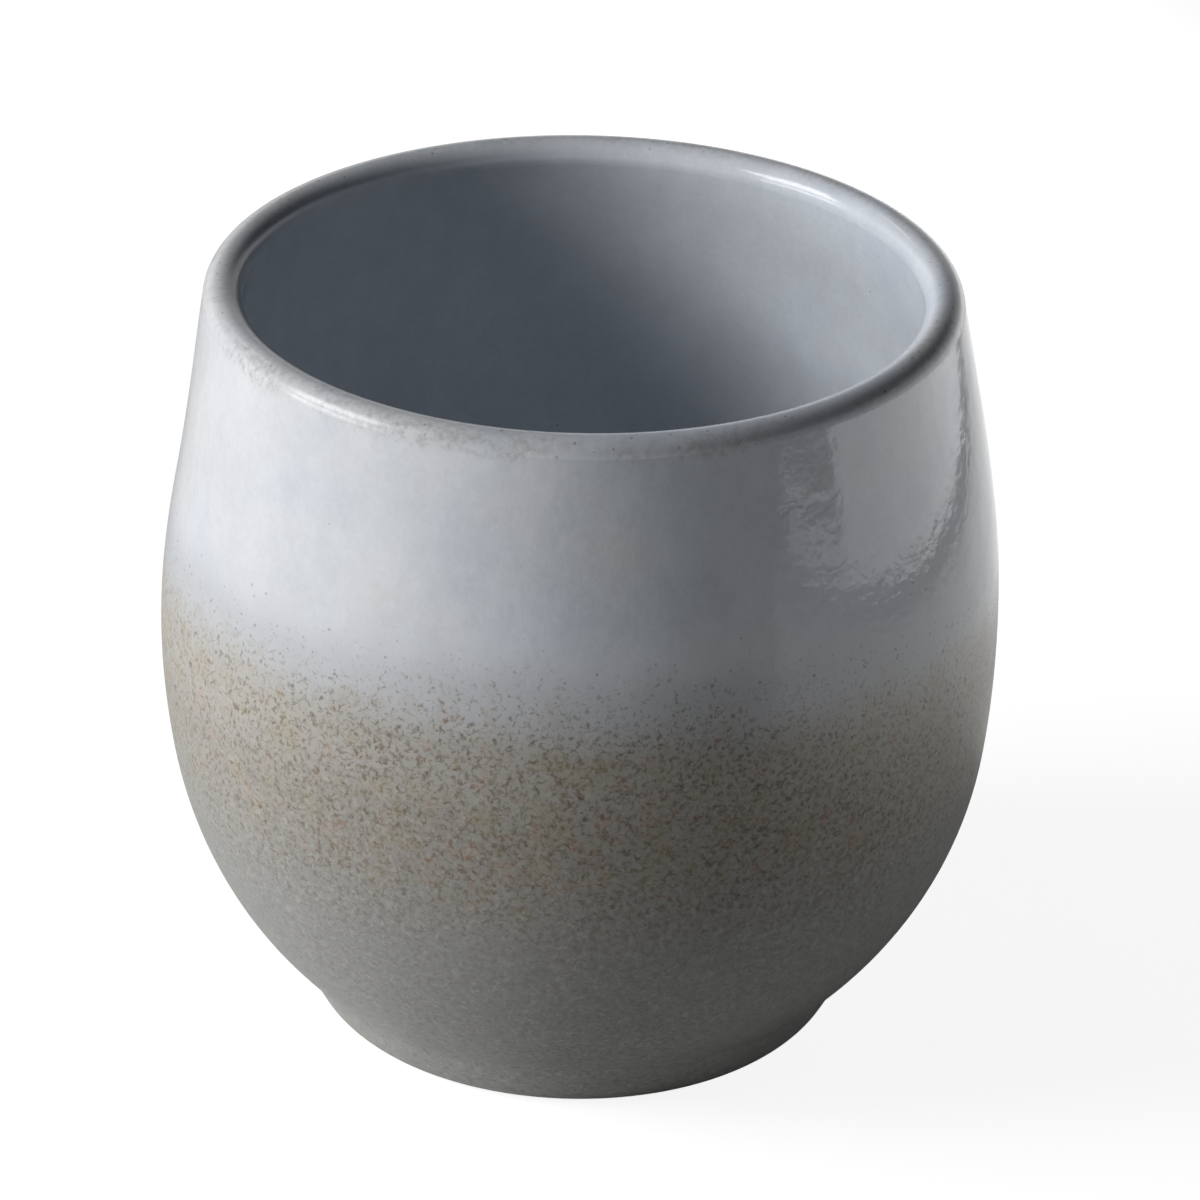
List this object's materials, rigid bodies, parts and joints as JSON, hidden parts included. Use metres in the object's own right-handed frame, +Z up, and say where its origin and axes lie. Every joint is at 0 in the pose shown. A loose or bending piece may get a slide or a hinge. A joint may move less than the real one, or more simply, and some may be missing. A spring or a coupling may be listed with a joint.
{
  "type": "tea cup",
  "caption": "Handleless stoneware tea cup: thick barrel-shaped bowl on a turned foot ring, pale glossy glaze above a speckled belt and a satin grey base.",
  "frame": {"origin": "centre of the foot ring on the table plane", "axes": "+Z up along the turning axis, towards the mouth"},
  "size_m": [0.085, 0.085, 0.08],
  "materials": {
    "body_clay": "fired stoneware clay, hidden under glaze",
    "foot_clay": "bare fired stoneware clay, sponged smooth",
    "liner_gloss": "glossy pale blue-grey glaze",
    "lip_break": "glossy glaze broken thin over the lip",
    "upper_gloss": "glossy pale blue-grey glaze",
    "speckle": "semi-gloss glaze with rust and ochre specks",
    "lower_satin": "satin grey glaze with a fine grain",
    "underside_gloss": "satin grey glaze with a fine grain"
  },
  "bodies": {
    "root": {"clay_bowl": "body_clay", "foot_ring": "foot_clay", "liner_glaze": "liner_gloss", "lip_glaze": "lip_break", "upper_glaze": "upper_gloss", "speckled_band": "speckle", "lower_glaze": "lower_satin", "underside_glaze": "underside_gloss"}
  },
  "joints": []
}
